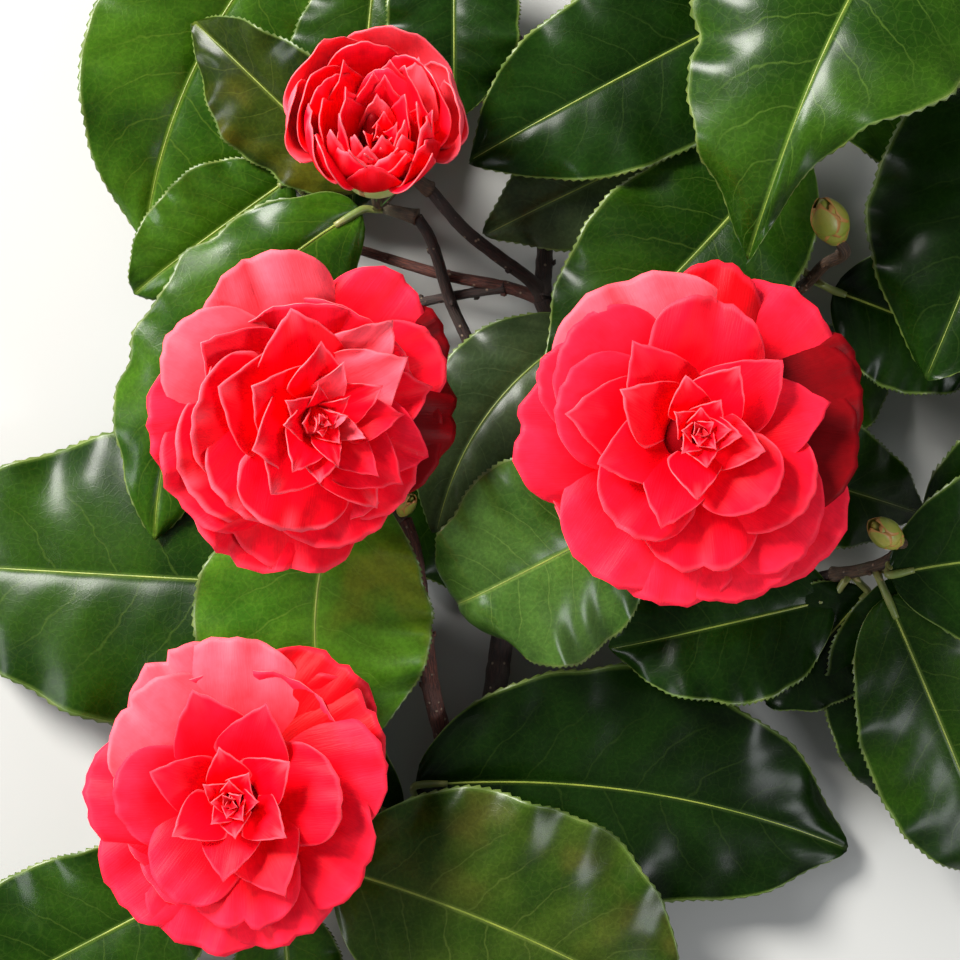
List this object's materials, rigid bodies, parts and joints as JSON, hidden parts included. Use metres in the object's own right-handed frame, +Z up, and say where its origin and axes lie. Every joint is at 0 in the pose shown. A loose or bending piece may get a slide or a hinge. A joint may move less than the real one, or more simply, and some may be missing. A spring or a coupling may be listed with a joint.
{
  "type": "camellia branch",
  "caption": "Cut camellia branch lying down, with double red blooms turned up, closed buds and broad glossy toothed leaves on forking woody stems.",
  "frame": {"origin": "on the level surface that the branch lies on, under the middle of its bounding box", "axes": "+Z up, the way the blooms face and the branch's shortest extent; +Y from the cut end towards the branch's top; +X to the right as the branch is seen from above with its cut end near"},
  "size_m": [0.3272, 0.322, 0.0848],
  "materials": {
    "bark": "dark brown young bark, rough, with small raised pores and leaf scars",
    "petals": "soft satin petals, deep red, coral pink where lit, with thin pale edges",
    "calyx": "yellow-green sepals, satin, browner at their edges",
    "bud_scales": "overlapping yellow-green bud scales with orange-brown edges, satin",
    "foliage": "leathery dark green leaves with a glossy upper side, pale midrib and thin pale toothed margin"
  },
  "bodies": {
    "root": {"main_stem": "bark", "bough_left": "bark", "bough_middle": "bark", "bough_upper": "bark", "bough_upper_left": "bark", "bough_upper_right": "bark", "twig_bloom_top": "bark", "twig_inner": "bark", "twig_behind": "bark", "twig_crossing": "bark", "twig_right": "bark", "twig_bud": "bark", "twig_lower": "bark", "bloom_right": "petals", "bloom_left": "petals", "bloom_top": "petals", "bloom_lower": "petals", "calyx_right": "calyx", "calyx_left": "calyx", "calyx_top": "calyx", "calyx_lower": "calyx", "bud_upper": "bud_scales", "bud_right": "bud_scales", "bud_left": "bud_scales", "spray_low_left": "foliage", "spray_left": "foliage", "spray_right": "foliage", "spray_junction": "foliage", "spray_upper": "foliage", "spray_middle_right": "foliage", "spray_far_right": "foliage", "spray_right_edge": "foliage", "spray_upper_left": "foliage", "spray_top": "foliage", "spray_crossing": "foliage", "spray_inner": "foliage", "spray_behind": "foliage", "spray_right_low": "foliage", "spray_bud": "foliage", "spray_lower": "foliage", "spray_base": "foliage"}
  },
  "joints": []
}
